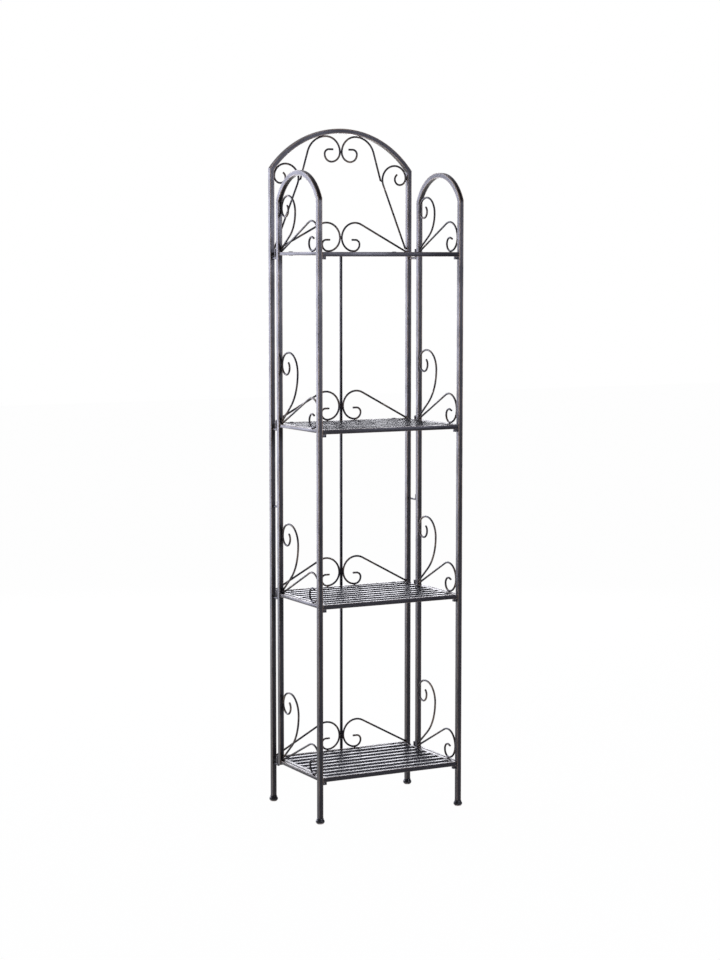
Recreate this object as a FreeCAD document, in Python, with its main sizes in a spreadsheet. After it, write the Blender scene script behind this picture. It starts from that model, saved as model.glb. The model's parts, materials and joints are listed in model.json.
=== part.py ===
import FreeCAD, Part
import Sketcher
import math
import os

# Folding four-tier iron etagere: a back frame on two feet, a side frame hinged to each back post,
# and four slatted shelves that pivot up against the back frame.
# X runs to the right, Y to the back, Z up; the origin is on the floor under the middle of the object.

os.makedirs("parts", exist_ok=True)
doc = FreeCAD.newDocument("Etagere")
sheet = doc.addObject("Spreadsheet::Sheet", "Sizes")

SIZES = {
    # Overall frame
    "post_span_x": 390.0,
    "post_span_y": 262.0,
    "post_size": 12.0,
    "tube_wall": 1.2,
    # Posts and arches above the top shelf
    "back_post_rise": 206.9,
    "back_arch_rise": 102.0,
    "side_post_rise": 126.9,
    "side_arch_rise": 70.0,
    # Side frames stand in front of the back posts by different amounts, so that they fold one over the other
    "left_setback": 44.0,
    "right_setback": 57.0,
    "hinge_reach": 14.0,
    # Shelves
    "shelf_low": 114.0,
    "shelf_pitch": 425.7,
    "shelf_gap": 1.0,
    "front_bar_depth": 10.0,
    "front_bar_height": 11.0,
    "side_bar_width": 10.0,
    "side_bar_height": 8.0,
    "rear_rod": 7.0,
    "slat_width": 15.0,
    "slat_height": 5.0,
    "sheet_wall": 1.0,
    # Shelf pivots on the back rails
    "eye_spread": 294.0,
    "eye_width": 10.0,
    "eye_wall": 2.0,
    "running_gap": 0.05,
    "swing_gap": 0.7,
    # Rails and rods
    "rail_size": 8.0,
    "rail_setback": 3.0,
    "centre_rod": 6.0,
    "scroll_rod": 5.0,
    "scroll_inset": 3.2,
    "weld_gap": 0.2,
    "stem_lift": 6.5,
    # Side frame hinges
    "pin": 6.0,
    "pin_top": 9.0,
    "arm_drop": 15.0,
    "knuckle_wall": 2.5,
    "knuckle_top": 8.0,
    "knuckle_lift": 0.3,
    "tab_width": 5.0,
    # Hooks on the back posts
    "hook_rod": 5.0,
    "hook_height": 757.0,
    "hook_tip": 14.0,
    # Pegs that carry the front bars of the shelves
    "peg_reach": 10.0,
    "peg_depth": 9.0,
    "peg_height": 7.0,
    "peg_hole": 4.0,
    # Feet
    "foot_height": 14.0,
    "foot_radius": 11.0,
    "foot_toe_radius": 8.5,
    "foot_toe_height": 3.5,
    "foot_waist_height": 9.5,
    "foot_collar_height": 11.9,
    "foot_collar_radius": 8.7,
    "spigot_length": 16.0,
    "spigot_gap": 0.1,
    # Low scroll beside the centre rod, and in the front of each side frame
    "low_height": 72.0,
    "low_turn": 38.0,
    "low_curl": 17.0,
    "low_eye": 11.5,
    "low_tail": 11.0,
    "side_curl": 18.0,
    "side_eye": 15.0,
    "side_tail": 7.0,
    # Tall scroll at the rear of each side frame
    "tall_waist": 131.0,
    "tall_stem": 110.0,
    "tall_turn": 48.0,
    "tall_shoulder": 30.0,
    "tall_curl": 23.0,
    "tall_bowl": 18.0,
    "tall_eye": 14.0,
    # Its shorter sister under the side arch
    "top_waist": 97.0,
    "top_stem": 70.0,
    "top_turn": 40.0,
    "top_shoulder": 30.0,
    "top_curl": 20.0,
    "top_bowl": 16.0,
    "top_eye": 13.0,
    # Scrolls under the back arch
    "crest_rise": 183.0,
    "crest_turn": 36.0,
    "crest_shoulder": 31.0,
    "crest_curl": 17.0,
    "crest_eye": 14.0,
    "crown_turn": 54.0,
    "crown_shoulder": 39.0,
    "crown_curl": 24.0,
    "crown_bowl": 19.0,
    "crown_eye": 12.0,
    "crown_tail": 12.0,
    "crown_drop": 3.0,
}
for row, (alias, number) in enumerate(SIZES.items(), start=1):
    sheet.set(f"A{row}", alias)
    sheet.set(f"B{row}", str(number))
    sheet.setAlias(f"B{row}", alias)
doc.recompute()

LEVELS = (1, 2, 3, 4)
SLAT_COUNT = 8
SIDES = {"left": -1, "right": 1}
ALONG_X = 0
ALONG_Y = 1

# Places that several pieces share, as formulas on the sheet
POST_X = "(Sizes.post_span_x / 2)"
POST_Y = "(Sizes.post_span_y / 2)"
HALF_POST = "(Sizes.post_size / 2)"
INNER_X = f"({POST_X} - {HALF_POST})"
BACK_FACE = f"({POST_Y} - {HALF_POST})"
SHELF_X = f"({INNER_X} - Sizes.shelf_gap)"
PIVOT_Y = f"({BACK_FACE} - Sizes.shelf_gap - Sizes.rear_rod / 2)"
RAIL_FRONT = f"({BACK_FACE} + Sizes.rail_setback)"
RAIL_Y = f"({RAIL_FRONT} + Sizes.rail_size / 2)"
SLAT_SPAN = f"({SHELF_X} - Sizes.side_bar_width)"
BAR_BACK = f"(-{POST_Y} + Sizes.front_bar_depth / 2)"
EYE_RADIUS = "(Sizes.rear_rod / 2 + Sizes.running_gap + Sizes.eye_wall)"
SLAT_REAR = f"({PIVOT_Y} - {EYE_RADIUS} - Sizes.swing_gap)"
KNUCKLE_RADIUS = "(Sizes.pin / 2 + Sizes.running_gap + Sizes.knuckle_wall)"


def shelf_top(level):
    """Height of a shelf's top face; level 1 is the lowest shelf."""
    return f"(Sizes.shelf_low + {level - 1} * Sizes.shelf_pitch)"


TOP_SHELF = shelf_top(LEVELS[-1])
BACK_SPRING = f"({TOP_SHELF} + Sizes.back_post_rise)"
BACK_PEAK = f"({BACK_SPRING} + Sizes.back_arch_rise)"
SIDE_SPRING = f"({TOP_SHELF} + Sizes.side_post_rise)"
SIDE_PEAK = f"({SIDE_SPRING} + Sizes.side_arch_rise)"
BACK_ARCH = (f"({POST_X} + {HALF_POST})", BACK_SPRING, BACK_PEAK)


def rear_post_y(side):
    """Depth of the rear post of a side frame."""
    return f"({POST_Y} - Sizes.{side}_setback)"


def hinge_y(side):
    """Depth of the upright hinge line of a side frame."""
    return f"({rear_post_y(side)} + Sizes.hinge_reach)"


def size(formula):
    """Present number of a formula on the sheet."""
    return float(sheet.evalExpression(formula))


def move(piece, x="0", y="0", z="0"):
    """Tie a piece's place to the sheet."""
    piece.setExpression("Placement.Base.x", str(x))
    piece.setExpression("Placement.Base.y", str(y))
    piece.setExpression("Placement.Base.z", str(z))
    return piece


def box(name, corner, lengths):
    """Rectangular bar from its lowest corner and its three lengths."""
    piece = doc.addObject("Part::Box", name)
    for quantity, formula in zip(("Length", "Width", "Height"), lengths):
        piece.setExpression(quantity, str(formula))
    return move(piece, *corner)


def cylinder(name, radius, height, base, axis=(0, 0, 1)):
    """Round bar from the centre of its end, along an axis."""
    piece = doc.addObject("Part::Cylinder", name)
    piece.setExpression("Radius", str(radius))
    piece.setExpression("Height", str(height))
    up = FreeCAD.Vector(0, 0, 1)
    piece.Placement = FreeCAD.Placement(FreeCAD.Vector(), FreeCAD.Rotation(up, FreeCAD.Vector(*axis)))
    return move(piece, *base)


def square_tube(name, corner, lengths, along):
    """Thin-walled bar, open at both ends, that runs along one of its three lengths."""
    bar = box(f"{name}_bar", corner, lengths)
    walls = ["0" if axis == along else "Sizes.sheet_wall" for axis in range(3)]
    bore = box(f"{name}_bore", [f"{place} + {wall}" for place, wall in zip(corner, walls)],
               [f"{length} - 2 * {wall}" for length, wall in zip(lengths, walls)])
    return cut(name, bar, bore)


def cut(name, base, tool):
    piece = doc.addObject("Part::Cut", name)
    piece.Base = base
    piece.Tool = tool
    return piece


def fuse(name, members):
    piece = doc.addObject("Part::MultiFuse", name)
    piece.Shapes = members
    return piece


def group(name, members):
    """Several separate solids that make one node."""
    piece = doc.addObject("Part::Compound", name)
    piece.Links = members
    return piece


NODES = []


def node(piece, label):
    """Give a finished sub-part its own label."""
    piece.Label = label
    NODES.append(piece)
    return piece


# Sketched bodies: mitred tubes, arches and feet
def plane(body, role):
    return next(feature for feature in body.Origin.OriginFeatures if feature.Role == role)


def new_sketch(body, name, role):
    sketch = body.newObject("Sketcher::SketchObject", name)
    sketch.AttachmentSupport = [(plane(body, role), "")]
    sketch.MapMode = "FlatFace"
    return sketch


def pin_point(sketch, edge, end, x, y):
    """Hold one end of an edge at a place given by two formulas, each with its sign."""
    for kind, formula in (("DistanceX", x), ("DistanceY", y)):
        start = size(formula)
        index = sketch.addConstraint(Sketcher.Constraint(kind, -1, 1, edge, end, start))
        sketch.setExpression(f"Constraints[{index}]", formula)


def outline(sketch, corners):
    """Closed outline through corners, each given by two formulas."""
    points = [FreeCAD.Vector(size(x), size(y), 0) for x, y in corners]
    for index, point in enumerate(points):
        sketch.addGeometry(Part.LineSegment(point, points[(index + 1) % len(points)]))
    for index in range(len(points)):
        sketch.addConstraint(Sketcher.Constraint("Coincident", index, 2, (index + 1) % len(points), 1))
    for index, (x, y) in enumerate(corners):
        pin_point(sketch, index, 1, x, y)


def pad(body, name, sketch, length):
    feature = body.newObject("PartDesign::Pad", name)
    feature.Profile = sketch
    feature.SideType = "Symmetric"
    feature.setExpression("Length", length)
    return feature


def pocket(body, name, sketch, length, side_type):
    feature = body.newObject("PartDesign::Pocket", name)
    feature.Profile = sketch
    feature.SideType = side_type
    feature.Reversed = side_type == "One side"
    feature.setExpression("Length", length)
    return feature


def turn_about_z(piece, degrees):
    """Turn a sketched body, drawn in the XZ plane, about its own upright line."""
    piece.Placement = FreeCAD.Placement(
        FreeCAD.Vector(), FreeCAD.Rotation(FreeCAD.Vector(0, 0, 1), degrees))
    return piece


def square_post(name, foot, outer_top, inner_top):
    """Upright square tube whose top is cut to meet an arch; its outer side is at -X in its own plane."""
    body = doc.addObject("PartDesign::Body", name)
    side = new_sketch(body, f"{name}_outline", "XZ_Plane")
    outline(side, [
        (f"-{HALF_POST}", "0"),
        (HALF_POST, "0"),
        (HALF_POST, f"{inner_top} - {foot}"),
        (f"-{HALF_POST}", f"{outer_top} - {foot}"),
    ])
    pad(body, f"{name}_pad", side, "Sizes.post_size")
    bore = new_sketch(body, f"{name}_bore", "XY_Plane")
    half_bore = f"({HALF_POST} - Sizes.tube_wall)"
    outline(bore, [
        (f"-{half_bore}", f"-{half_bore}"),
        (half_bore, f"-{half_bore}"),
        (half_bore, half_bore),
        (f"-{half_bore}", half_bore),
    ])
    pocket(body, f"{name}_hollow", bore, f"{inner_top} - {foot} - Sizes.tube_wall", "One side")
    return body


def arch_radius(half_chord, spring, peak):
    """Radius of an arc over a chord, from its rise."""
    rise = f"({peak} - {spring})"
    return f"(({half_chord} ^ 2 + {rise} ^ 2) / (2 * {rise}))"


def mitre_height(half_chord, spring, peak, inset):
    """Height where an arch, taken in by an inset, meets the line of its post taken in alike."""
    radius = arch_radius(half_chord, spring, peak)
    return f"({peak} - {radius} + sqrt(({radius} - {inset}) ^ 2 - ({half_chord} - {inset}) ^ 2))"


def arch_sketch(body, name, half_chord, spring, peak, inset):
    """Arched band, drawn about the arch's middle, with its two mitred ends."""
    sketch = new_sketch(body, name, "XZ_Plane")
    radius = arch_radius(half_chord, spring, peak)
    centre = FreeCAD.Vector(0, size(f"{peak} - {radius}"), 0)
    ends = []
    for index, depth in enumerate((inset, f"(Sizes.post_size - {inset})")):
        reach = f"({half_chord} - {depth})"
        height = mitre_height(half_chord, spring, peak, depth)
        band = size(f"{radius} - {depth}")
        angle = math.acos(size(reach) / band)
        circle = Part.Circle(centre, FreeCAD.Vector(0, 0, 1), band)
        sketch.addGeometry(Part.ArcOfCircle(circle, angle, math.pi - angle))
        pin_point(sketch, index, 1, reach, height)
        pin_point(sketch, index, 2, f"-{reach}", height)
        level = sketch.addConstraint(Sketcher.Constraint("DistanceY", -1, 1, index, 3, centre.y))
        sketch.setExpression(f"Constraints[{level}]", f"{peak} - {radius}")
        ends.append([FreeCAD.Vector(sign * size(reach), size(height), 0) for sign in (1, -1)])
    for end in (0, 1):
        edge = sketch.addGeometry(Part.LineSegment(ends[0][end], ends[1][end]))
        sketch.addConstraint(Sketcher.Constraint("Coincident", edge, 1, 0, end + 1))
        sketch.addConstraint(Sketcher.Constraint("Coincident", edge, 2, 1, end + 1))
    return sketch


def square_arch(name, half_chord, spring, peak):
    """Bent square tube over two posts."""
    body = doc.addObject("PartDesign::Body", name)
    band = arch_sketch(body, f"{name}_band", half_chord, spring, peak, "0")
    pad(body, f"{name}_pad", band, "Sizes.post_size")
    bore = arch_sketch(body, f"{name}_bore", half_chord, spring, peak, "Sizes.tube_wall")
    pocket(body, f"{name}_hollow", bore, "Sizes.post_size - 2 * Sizes.tube_wall", "Symmetric")
    return body


def turned_foot(name):
    """Turned foot cap with a square spigot that plugs the post."""
    body = doc.addObject("PartDesign::Body", name)
    profile = new_sketch(body, f"{name}_profile", "XZ_Plane")
    outline(profile, [
        ("0", "0"),
        ("Sizes.foot_toe_radius", "0"),
        ("Sizes.foot_radius", "Sizes.foot_toe_height"),
        ("Sizes.foot_radius", "Sizes.foot_waist_height"),
        ("Sizes.foot_collar_radius", "Sizes.foot_collar_height"),
        ("Sizes.foot_collar_radius", "Sizes.foot_height"),
        ("0", "Sizes.foot_height"),
    ])
    turned = body.newObject("PartDesign::Revolution", f"{name}_turned")
    turned.Profile = profile
    turned.ReferenceAxis = (profile, ["V_Axis"])
    turned.Angle = 360
    spigot = new_sketch(body, f"{name}_spigot", "XY_Plane")
    half = f"({HALF_POST} - Sizes.tube_wall - Sizes.spigot_gap)"
    outline(spigot, [(f"-{half}", f"-{half}"), (half, f"-{half}"), (half, half), (f"-{half}", half)])
    plug = body.newObject("PartDesign::Pad", f"{name}_plug")
    plug.Profile = spigot
    plug.setExpression("Length", "Sizes.foot_height + Sizes.spigot_length")
    return body


# Bent round rods: a straight stem that runs tangent into a chain of arcs
def polar(centre, radius, angle):
    return (centre[0] + radius * math.cos(angle), centre[1] + radius * math.sin(angle))


def scroll_path(start, centre, turn, arcs, tail=0.0):
    """Plane path: a stem from start, tangent to the first arc, then arcs that share their tangents.

    turn is 1 for anticlockwise and -1 for clockwise; each arc is its radius and the angle where it ends.
    """
    radius = arcs[0][0]
    reach = math.dist(start, centre)
    heading = math.atan2(centre[1] - start[1], centre[0] - start[0]) - turn * math.asin(radius / reach)
    angle = heading - turn * math.pi / 2
    runs = [("line", start, polar(centre, radius, angle))]
    for next_radius, end_degrees in arcs:
        centre = polar(centre, radius - next_radius, angle)
        radius = next_radius
        end = math.radians(end_degrees)
        while turn * (end - angle) <= 0:
            end += turn * 2 * math.pi
        points = [polar(centre, radius, angle + share * (end - angle)) for share in (0.0, 0.5, 1.0)]
        runs.append(("arc", *points))
        angle = end
    if tail:
        finish = runs[-1][-1]
        runs.append(("line", finish, polar(finish, tail, angle + turn * math.pi / 2)))
    return runs


def bent_rod(runs, to_space, diameter):
    """Round rod along a plane path, set in space by a function."""
    edges = []
    for kind, *points in runs:
        places = [to_space(*point) for point in points]
        curve = Part.LineSegment(*places) if kind == "line" else Part.Arc(*places)
        edges.append(curve.toShape())
    path = Part.Wire(edges)
    first = edges[0]
    start = first.valueAt(first.FirstParameter)
    direction = first.tangentAt(first.FirstParameter)
    section = Part.Wire(Part.Circle(start, direction, diameter / 2).toShape())
    return path.makePipeShell([section], True, False)


def rods(name, shapes):
    """Node of one or more bent rods."""
    piece = doc.addObject("Part::Feature", name)
    piece.Shape = shapes[0] if len(shapes) == 1 else Part.makeCompound(shapes)
    return node(piece, name)


ROD = size("Sizes.scroll_rod")
REST = ROD / 2 + size("Sizes.weld_gap")
RIGHT = 0
TOP = 90
LEFT = 180
BOTTOM = 270
SHOULDER = 65
TIP_SWEEP = 60
TIP_LEAN = 20
LIFT = size("Sizes.stem_lift")


def back_space(side):
    """Plane of the back scrolls; the first coordinate runs from the middle to one post."""
    depth = size(RAIL_Y)
    return lambda across, up: FreeCAD.Vector(SIDES[side] * across, depth, up)


def side_space(side):
    """Plane of a side frame's scrolls; the first coordinate runs from front to back."""
    across = SIDES[side] * size(f"{POST_X} - Sizes.scroll_inset")
    return lambda along, up: FreeCAD.Vector(across, along, up)


def back_low_scroll(level, side):
    """Scroll that leans from the post's foot to the centre rod, or to its twin where no rod stands."""
    base = size(shelf_top(level))
    bowl = size("(Sizes.low_height - Sizes.scroll_rod) / 2")
    nearest = REST if level == LEVELS[-1] else size("Sizes.centre_rod / 2") + REST
    start = (size(INNER_X) - REST, base + REST)
    centre = (nearest + size("Sizes.low_turn"), base + REST + bowl)
    arcs = [
        (size("Sizes.low_turn"), LEFT),
        (bowl, BOTTOM),
        (size("Sizes.low_curl"), RIGHT),
        (size("Sizes.low_eye"), TOP),
    ]
    runs = scroll_path(start, centre, 1, arcs, size("Sizes.low_tail"))
    return bent_rod(runs, back_space(side), ROD)


def crest_centre():
    """Middle of the crest scroll's first turn, which rests on the post."""
    return (size(f"{INNER_X} - Sizes.crest_shoulder") - REST, size(f"{TOP_SHELF} + Sizes.crest_rise"))


def crest_scroll(side):
    """Upright scroll that curls against the top of the post."""
    base = size(TOP_SHELF)
    start = (size(INNER_X) - REST, base + REST + LIFT)
    arcs = [
        (size("Sizes.crest_turn"), TOP),
        (size("Sizes.crest_shoulder"), RIGHT),
        (size("Sizes.crest_curl"), BOTTOM),
        (size("Sizes.crest_eye"), LEFT - TIP_SWEEP),
    ]
    return bent_rod(scroll_path(start, crest_centre(), -1, arcs), back_space(side), ROD)


def crown_scroll(side):
    """Scroll under the arch that meets its twin at the middle and stands on the crest scroll."""
    turn = size("Sizes.crown_turn")
    radius = size(arch_radius(*BACK_ARCH))
    across = REST + size("Sizes.crown_shoulder")
    reach = radius - size("Sizes.post_size") - turn - REST
    centre = (across, size(BACK_PEAK) - radius + math.sqrt(reach ** 2 - across ** 2))
    crest = crest_centre()
    start = (crest[0] - size("Sizes.crest_turn + Sizes.weld_gap") - ROD, crest[1] - size("Sizes.crown_drop"))
    arcs = [
        (turn, TOP),
        (size("Sizes.crown_shoulder"), LEFT),
        (size("Sizes.crown_curl"), BOTTOM),
        (size("Sizes.crown_bowl"), RIGHT),
        (size("Sizes.crown_eye"), TOP),
    ]
    return bent_rod(scroll_path(start, centre, 1, arcs, size("Sizes.crown_tail")), back_space(side), ROD)


def side_low_scroll(level, side):
    """Scroll that leans from the rear post's foot to the front post."""
    base = size(shelf_top(level))
    bowl = size("(Sizes.low_height - Sizes.scroll_rod) / 2")
    front = size(f"-{POST_Y} + {HALF_POST}") + REST
    start = (size(f"{rear_post_y(side)} - {HALF_POST}") - REST, base + REST)
    centre = (front + size("Sizes.low_turn"), base + REST + bowl)
    arcs = [
        (size("Sizes.low_turn"), LEFT),
        (bowl, BOTTOM),
        (size("Sizes.side_curl"), RIGHT),
        (size("Sizes.side_eye"), TOP + TIP_LEAN),
    ]
    runs = scroll_path(start, centre, 1, arcs, size("Sizes.side_tail"))
    return bent_rod(runs, side_space(side), ROD)


def side_tall_scroll(level, side):
    """Scroll that rises from the rear post's foot and curls back against the post."""
    kind = "top" if level == LEVELS[-1] else "tall"
    base = size(shelf_top(level))
    rear = size(f"{rear_post_y(side)} - {HALF_POST}") - REST
    stem = size(f"Sizes.{kind}_stem")
    turn = size(f"Sizes.{kind}_turn")
    shoulder = size(f"Sizes.{kind}_shoulder")
    lean = (turn - shoulder) * math.cos(math.radians(SHOULDER))
    front = rear - shoulder - lean - turn
    arcs = [
        (stem, LEFT),
        (turn, SHOULDER),
        (shoulder, RIGHT),
        (size(f"Sizes.{kind}_curl"), BOTTOM),
        (size(f"Sizes.{kind}_bowl"), LEFT),
        (size(f"Sizes.{kind}_eye"), LEFT - TIP_SWEEP),
    ]
    start = (rear, base + REST + LIFT)
    centre = (front + stem, base + size(f"Sizes.{kind}_waist"))
    return bent_rod(scroll_path(start, centre, -1, arcs), side_space(side), ROD)


def angled_pin(name, side, rod, height, top):
    """Round arm out of a back post to the hinge line, with an upturned end."""
    x = f"{SIDES[side]} * {POST_X}"
    reach = f"{BACK_FACE} - {hinge_y(side)}"
    arm = cylinder(f"{name}_arm", f"{rod} / 2", reach, (x, hinge_y(side), height), (0, 1, 0))
    elbow = doc.addObject("Part::Sphere", f"{name}_elbow")
    elbow.setExpression("Radius", f"{rod} / 2")
    move(elbow, x, hinge_y(side), height)
    tip = cylinder(f"{name}_tip", f"{rod} / 2", f"{top} - ({height})", (x, hinge_y(side), height))
    return fuse(name, [arm, elbow, tip])


# Back frame
for side, sign in SIDES.items():
    post = square_post(f"back_{side}_post", "Sizes.foot_height", BACK_SPRING,
                       mitre_height(*BACK_ARCH, "Sizes.post_size"))
    turn_about_z(post, 0 if side == "left" else 180)
    move(post, f"{sign} * {POST_X}", POST_Y, "Sizes.foot_height")
    node(post, f"back_{side}_post")
    foot = turned_foot(f"back_{side}_foot")
    node(move(foot, f"{sign} * {POST_X}", POST_Y), f"back_{side}_foot")

node(move(square_arch("back_arch", *BACK_ARCH), 0, POST_Y), "back_arch")

for level in LEVELS:
    rail = box(f"back_rail_{level}", (f"-{INNER_X}", RAIL_FRONT, f"{shelf_top(level)} - Sizes.rail_size"),
               (f"2 * {INNER_X}", "Sizes.rail_size", "Sizes.rail_size"))
    node(rail, f"back_rail_{level}")

for level in LEVELS[:-1]:
    half = "Sizes.centre_rod / 2"
    rod = box(f"centre_rod_{level}", (f"-{half}", f"{RAIL_Y} - {half}", shelf_top(level)),
              ("Sizes.centre_rod", "Sizes.centre_rod", "Sizes.shelf_pitch - Sizes.rail_size"))
    node(rod, f"centre_rod_{level}")

for level in LEVELS:
    rods(f"back_scrolls_{level}", [back_low_scroll(level, side) for side in SIDES])
for side in SIDES:
    rods(f"crest_scroll_{side}", [crest_scroll(side)])
    rods(f"crown_scroll_{side}", [crown_scroll(side)])

for side in SIDES:
    pintles = []
    for level in LEVELS:
        height = f"{shelf_top(level)} - Sizes.arm_drop"
        top = f"{shelf_top(level)} + Sizes.pin_top"
        pintles.append(angled_pin(f"{side}_pintle_{level}", side, "Sizes.pin", height, top))
    node(group(f"{side}_pintles", pintles), f"{side}_pintles")
    hook = angled_pin(f"{side}_hook", side, "Sizes.hook_rod", "Sizes.hook_height",
                      "Sizes.hook_height + Sizes.hook_tip")
    node(hook, f"{side}_hook")

eyes = []
for level in LEVELS:
    height = f"{shelf_top(level)} - Sizes.rear_rod / 2"
    for side, sign in SIDES.items():
        name = f"eye_{side}_{level}"
        start = f"{sign} * Sizes.eye_spread / 2 - Sizes.eye_width / 2"
        ring = cylinder(f"{name}_ring", EYE_RADIUS, "Sizes.eye_width", (start, PIVOT_Y, height), (1, 0, 0))
        web = box(f"{name}_web", (start, PIVOT_Y, f"{height} - {EYE_RADIUS} / 2"),
                  ("Sizes.eye_width", f"{RAIL_FRONT} - {PIVOT_Y}", EYE_RADIUS))
        bore = cylinder(f"{name}_bore", "Sizes.rear_rod / 2 + Sizes.running_gap", "Sizes.eye_width",
                        (start, PIVOT_Y, height), (1, 0, 0))
        eyes.append(cut(name, fuse(f"{name}_body", [ring, web]), bore))
node(group("shelf_eyes", eyes), "shelf_eyes")

# Side frames
for side, sign in SIDES.items():
    x = f"{sign} * {POST_X}"
    rear_y = rear_post_y(side)
    middle = f"(({rear_y} - {POST_Y}) / 2)"
    chord = f"(({rear_y} + {POST_Y}) / 2 + {HALF_POST})"
    arch = (chord, SIDE_SPRING, SIDE_PEAK)
    inner_top = mitre_height(*arch, "Sizes.post_size")
    lowest = f"({shelf_top(1)} - Sizes.front_bar_height)"

    front_post = square_post(f"{side}_front_post", "Sizes.foot_height", SIDE_SPRING, inner_top)
    turn_about_z(front_post, 90)
    node(move(front_post, x, f"-{POST_Y}", "Sizes.foot_height"), f"{side}_front_post")
    rear_post = square_post(f"{side}_rear_post", lowest, SIDE_SPRING, inner_top)
    turn_about_z(rear_post, -90)
    node(move(rear_post, x, rear_y, lowest), f"{side}_rear_post")
    bow = turn_about_z(square_arch(f"{side}_arch", *arch), 90)
    node(move(bow, x, middle), f"{side}_arch")
    node(move(turned_foot(f"{side}_front_foot"), x, f"-{POST_Y}"), f"{side}_front_foot")

    rails = []
    knuckles = []
    pegs = []
    for level in LEVELS:
        top = shelf_top(level)
        rails.append(box(
            f"{side}_rail_{level}",
            (f"{x} - Sizes.rail_size / 2", f"-{POST_Y} + {HALF_POST}", f"{top} - Sizes.rail_size"),
            ("Sizes.rail_size", f"{POST_Y} + {rear_y} - Sizes.post_size", "Sizes.rail_size")))

        bottom = f"({top} - Sizes.arm_drop + Sizes.pin / 2 + Sizes.knuckle_lift)"
        length = f"({top} + Sizes.knuckle_top - {bottom})"
        name = f"{side}_knuckle_{level}"
        sleeve = cylinder(f"{name}_sleeve", KNUCKLE_RADIUS, length, (x, hinge_y(side), bottom))
        tab = box(f"{name}_tab", (f"{x} - Sizes.tab_width / 2", f"{rear_y} + {HALF_POST}", bottom),
                  ("Sizes.tab_width", f"Sizes.hinge_reach - {HALF_POST}", length))
        bore = cylinder(f"{name}_bore", "Sizes.pin / 2 + Sizes.running_gap", length,
                        (x, hinge_y(side), bottom))
        knuckles.append(cut(name, fuse(f"{name}_body", [sleeve, tab]), bore))

        name = f"{side}_peg_{level}"
        start = f"-{INNER_X}" if side == "left" else f"({INNER_X} - Sizes.peg_reach)"
        peg_bottom = f"({top} - Sizes.front_bar_height - Sizes.peg_height)"
        block = box(f"{name}_block", (start, f"-{POST_Y} - Sizes.peg_depth / 2", peg_bottom),
                    ("Sizes.peg_reach", "Sizes.peg_depth", "Sizes.peg_height"))
        hole = cylinder(f"{name}_hole", "Sizes.peg_hole / 2", "Sizes.peg_depth",
                        (f"{start} + Sizes.peg_reach / 2", f"-{POST_Y} - Sizes.peg_depth / 2",
                         f"{peg_bottom} + Sizes.peg_height / 2"), (0, 1, 0))
        pegs.append(cut(name, block, hole))
    node(group(f"{side}_rails", rails), f"{side}_rails")
    node(group(f"{side}_knuckles", knuckles), f"{side}_knuckles")
    node(group(f"{side}_pegs", pegs), f"{side}_pegs")
    rods(f"{side}_tall_scrolls", [side_tall_scroll(level, side) for level in LEVELS])
    rods(f"{side}_low_scrolls", [side_low_scroll(level, side) for level in LEVELS])

# Shelves
for level in LEVELS:
    top = shelf_top(level)
    name = f"shelf_{level}"
    front_bar = square_tube(
        f"{name}_front_bar",
        (f"-{SHELF_X}", f"-{POST_Y} - Sizes.front_bar_depth / 2", f"{top} - Sizes.front_bar_height"),
        (f"2 * {SHELF_X}", "Sizes.front_bar_depth", "Sizes.front_bar_height"), ALONG_X)
    node(front_bar, f"{name}_front_bar")

    bars = []
    for side in SIDES:
        start = f"-{SHELF_X}" if side == "left" else SLAT_SPAN
        bars.append(square_tube(
            f"{name}_{side}_bar", (start, BAR_BACK, f"{top} - Sizes.side_bar_height"),
            ("Sizes.side_bar_width", f"{PIVOT_Y} + Sizes.rear_rod / 2 - {BAR_BACK}", "Sizes.side_bar_height"),
            ALONG_Y))
    node(group(f"{name}_side_bars", bars), f"{name}_side_bars")

    rod = cylinder(f"{name}_rear_rod", "Sizes.rear_rod / 2", f"2 * {SLAT_SPAN}",
                   (f"-{SLAT_SPAN}", PIVOT_Y, f"{top} - Sizes.rear_rod / 2"), (1, 0, 0))
    node(rod, f"{name}_rear_rod")

    slats = []
    gap = f"(({SLAT_REAR} - {BAR_BACK} - {SLAT_COUNT} * Sizes.slat_width) / {SLAT_COUNT})"
    for index in range(SLAT_COUNT):
        y = f"{BAR_BACK} + {gap} + {index} * ({gap} + Sizes.slat_width)"
        slat = f"{name}_slat_{index + 1}"
        channel = box(f"{slat}_channel", (f"-{SLAT_SPAN}", y, f"{top} - Sizes.slat_height"),
                      (f"2 * {SLAT_SPAN}", "Sizes.slat_width", "Sizes.slat_height"))
        hollow = box(f"{slat}_hollow",
                     (f"-{SLAT_SPAN}", f"{y} + Sizes.sheet_wall", f"{top} - Sizes.slat_height"),
                     (f"2 * {SLAT_SPAN}", "Sizes.slat_width - 2 * Sizes.sheet_wall",
                      "Sizes.slat_height - Sizes.sheet_wall"))
        slats.append(cut(slat, channel, hollow))
    node(group(f"{name}_slats", slats), f"{name}_slats")

doc.recompute()

for piece in doc.Objects:
    if "Invalid" in piece.State or "Error" in piece.State:
        raise RuntimeError(f"{piece.Label} failed: {piece.State}")
for piece in NODES:
    if piece.Shape.isNull() or not piece.Shape.isValid() or not piece.Shape.Solids:
        raise RuntimeError(f"{piece.Label} has no valid solid")
for piece in NODES:
    piece.Shape.exportStep(f"parts/{piece.Label}.step")
print(len(NODES), "sub-parts,", sum(len(piece.Shape.Solids) for piece in NODES), "solids")
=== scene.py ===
# %% [markdown]
# # A folding iron etagere
# The shelf is welded from square tube, square bar and bent round rod, coated in charcoal powder, and
# brushed with bronze over the edges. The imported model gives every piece's size and place. This lesson
# loads it, gives each piece the softened edges of real metal, adds what the model leaves out, and
# paints and lights the whole.

import json
import math

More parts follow.
